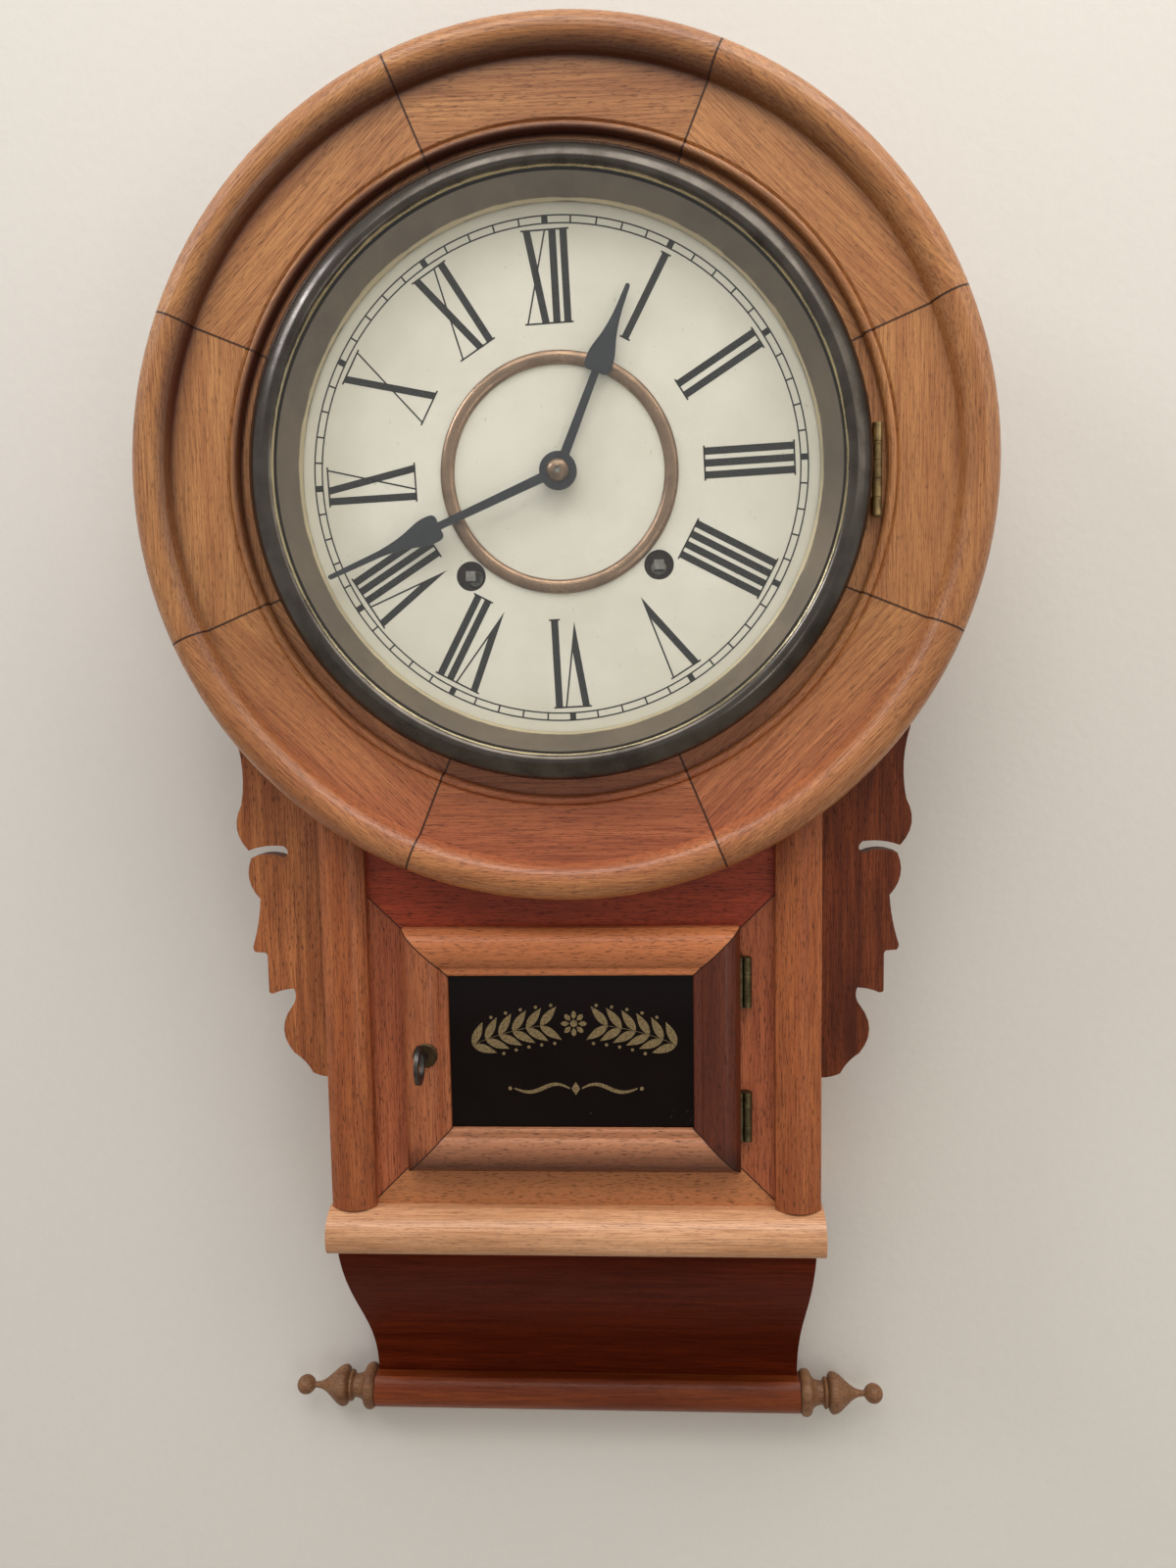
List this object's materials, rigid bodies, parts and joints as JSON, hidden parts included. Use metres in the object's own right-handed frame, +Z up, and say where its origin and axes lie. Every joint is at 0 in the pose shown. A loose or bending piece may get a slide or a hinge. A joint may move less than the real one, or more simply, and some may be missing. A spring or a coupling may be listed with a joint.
{
  "type": "wall clock",
  "caption": "Round-top drop-case wall clock: segmented wood surround, glazed bezel and lower door that swing open, ogee base, turning hands, wheel train and swinging pendulum.",
  "frame": {"origin": "on the wall face of the back board, where the line of the hand arbor crosses it", "axes": "+X to the right as seen from the front, +Y into the wall, +Z up"},
  "size_m": [0.4058, 0.1159, 0.725],
  "materials": {
    "case_wood": "old satin varnish",
    "ring_wood": "old satin varnish",
    "moulding_wood": "old satin varnish",
    "ear_wood": "dark satin varnish",
    "base_wood": "glossy red-brown varnish",
    "finial_wood": "pale worn varnish",
    "back_wood": "plain, oiled",
    "dial_paint": "aged cream paint with a satin face",
    "dial_copper": "brownish copper plate",
    "bezel_metal": "dark oxidised",
    "sight_metal": "dull",
    "clear_glass": "clear",
    "dark_glass": "backed with black paint",
    "hinge_brass": "dull, worn",
    "lock_bronze": "dark bronze",
    "key_steel": "dark worn",
    "hand_blue": "blued",
    "nut_brass": "brownish",
    "plate_brass": "lacquered",
    "arbor_steel": "turned",
    "spring_steel": "blued",
    "bob_brass": "polished",
    "gong_steel": "blued",
    "cast_post": "black"
  },
  "bodies": {
    "case": {"back_board": "back_wood", "left_side_board": "case_wood", "right_side_board": "case_wood", "top_board": "case_wood", "bottom_board": "case_wood", "front_frame": "case_wood", "left_pilaster": "moulding_wood", "right_pilaster": "moulding_wood", "waist_moulding": "moulding_wood", "base_front": "base_wood", "base_cheeks": "base_wood", "bottom_rail": "base_wood", "left_finial": "finial_wood", "right_finial": "finial_wood", "left_ear": "ear_wood", "right_ear": "ear_wood", "surround": "ring_wood", "hanger_plate": "hinge_brass", "wood_screws": "hinge_brass", "dial_plate": "dial_paint", "centre_ring": "dial_copper", "bezel_hinge_case_leaf": "hinge_brass", "door_hinge_case_leaves": "hinge_brass", "movement_back_plate": "plate_brass", "movement_front_plate": "plate_brass", "movement_pillars": "arbor_steel", "mainsprings": "spring_steel", "suspension_cock": "plate_brass", "gong_coil": "gong_steel", "gong_block": "cast_post"},
    "bezel": {"bezel_ring": "bezel_metal", "sight_ring": "sight_metal", "bezel_glass": "clear_glass", "bezel_hinge_door_leaf": "hinge_brass"},
    "door": {"door_frame": "moulding_wood", "door_glass": "dark_glass", "door_hinge_door_leaves": "hinge_brass", "door_lock": "lock_bronze"},
    "key": {"door_key": "key_steel", "lock_cam": "key_steel"},
    "minute": {"minute_hand": "hand_blue", "hand_nut": "nut_brass", "centre_arbor": "arbor_steel"},
    "hour": {"hour_hand": "hand_blue", "hour_wheel": "plate_brass"},
    "motion_wheel": {"minute_wheel": "plate_brass"},
    "time_winding": {"time_winding_arbor": "arbor_steel"},
    "strike_winding": {"strike_winding_arbor": "arbor_steel"},
    "time_great": {"time_great_wheel": "plate_brass"},
    "strike_great": {"strike_great_wheel": "plate_brass"},
    "second": {"second_wheel": "plate_brass"},
    "centre": {"centre_wheel": "plate_brass"},
    "third": {"third_wheel": "plate_brass"},
    "escape": {"escape_wheel": "plate_brass"},
    "anchor": {"anchor": "arbor_steel"},
    "pendulum": {"suspension_spring": "spring_steel", "pendulum_rod": "arbor_steel", "pendulum_bob": "bob_brass"},
    "rating_nut": {"rating_nut": "nut_brass"},
    "hammer": {"strike_hammer": "arbor_steel"}
  },
  "joints": [
    {"name": "bezel_opens", "type": "hinge", "parent": "case", "child": "bezel", "pos_m": [0.1469, -0.0975, -0.0025], "axis": [0, 0, 1], "range_deg": [0, 100]},
    {"name": "door_opens", "type": "hinge", "parent": "case", "child": "door", "pos_m": [0.088, -0.0826, -0.28225], "axis": [0, 0, 1], "range_deg": [0, 110]},
    {"name": "key_turns", "type": "hinge", "parent": "door", "child": "key", "pos_m": [-0.0726, -0.0673, -0.28225], "axis": [0, 1, 0], "range_deg": [0, 90]},
    {"name": "minute_hand_turns", "type": "hinge", "parent": "case", "child": "minute", "pos_m": [0, -0.1011, 0], "axis": [0, 1, 0], "continuous": true},
    {"name": "hour_hand_turns", "type": "hinge", "parent": "case", "child": "hour", "pos_m": [0, -0.1011, 0], "axis": [0, 1, 0], "continuous": true},
    {"name": "minute_wheel_turns", "type": "hinge", "parent": "case", "child": "motion_wheel", "pos_m": [-0.00067, -0.0772, 0.01679], "axis": [0, 1, 0], "continuous": true},
    {"name": "time_side_winds", "type": "hinge", "parent": "case", "child": "time_winding", "pos_m": [0.04638, -0.062, -0.04337], "axis": [0, 1, 0], "continuous": true},
    {"name": "strike_side_winds", "type": "hinge", "parent": "case", "child": "strike_winding", "pos_m": [-0.04275, -0.062, -0.04695], "axis": [0, 1, 0], "continuous": true},
    {"name": "third_wheel_turns", "type": "hinge", "parent": "case", "child": "third", "pos_m": [0.01422, -0.042, 0.01934], "axis": [0, 1, 0], "continuous": true},
    {"name": "time_great_wheel_turns", "type": "hinge", "parent": "case", "child": "time_great", "pos_m": [0.04638, -0.062, -0.04337], "axis": [0, 1, 0], "continuous": true},
    {"name": "second_wheel_turns", "type": "hinge", "parent": "case", "child": "second", "pos_m": [0.02666, -0.054, -0.01089], "axis": [0, 1, 0], "continuous": true},
    {"name": "centre_wheel_turns", "type": "hinge", "parent": "case", "child": "centre", "pos_m": [0, -0.067, 0], "axis": [0, 1, 0], "continuous": true},
    {"name": "escape_wheel_turns", "type": "hinge", "parent": "case", "child": "escape", "pos_m": [-0.00128, -0.047, 0.03197], "axis": [0, 1, 0], "continuous": true},
    {"name": "strike_great_wheel_turns", "type": "hinge", "parent": "case", "child": "strike_great", "pos_m": [-0.04275, -0.062, -0.04695], "axis": [0, 1, 0], "continuous": true},
    {"name": "pendulum_swings", "type": "hinge", "parent": "case", "child": "pendulum", "pos_m": [-0.00213, -0.025, 0.05296], "axis": [0, 1, 0], "range_deg": [-2, 2]},
    {"name": "anchor_rocks", "type": "hinge", "parent": "case", "child": "anchor", "pos_m": [-0.00213, -0.025, 0.05296], "axis": [0, 1, 0], "range_deg": [-2, 2]},
    {"name": "rating_nut_turns", "type": "hinge", "parent": "pendulum", "child": "rating_nut", "pos_m": [-0.00213, -0.025, -0.28934], "axis": [0, 0, 1], "continuous": true},
    {"name": "hammer_strikes", "type": "hinge", "parent": "case", "child": "hammer", "pos_m": [-0.04774, -0.032, -0.00992], "axis": [0, 1, 0], "range_deg": [-1.6, 6]}
  ],
  "couplings": [
    {"joint": "hour_hand_turns", "follows": "minute_hand_turns", "ratio": 0.083333},
    {"joint": "minute_wheel_turns", "follows": "minute_hand_turns", "ratio": -0.33333},
    {"joint": "escape_wheel_turns", "follows": "third_wheel_turns", "ratio": -9},
    {"joint": "centre_wheel_turns", "follows": "third_wheel_turns", "ratio": -0.11111},
    {"joint": "second_wheel_turns", "follows": "third_wheel_turns", "ratio": 0.013889},
    {"joint": "time_great_wheel_turns", "follows": "third_wheel_turns", "ratio": -0.001634},
    {"joint": "anchor_rocks", "follows": "pendulum_swings", "ratio": 1}
  ]
}
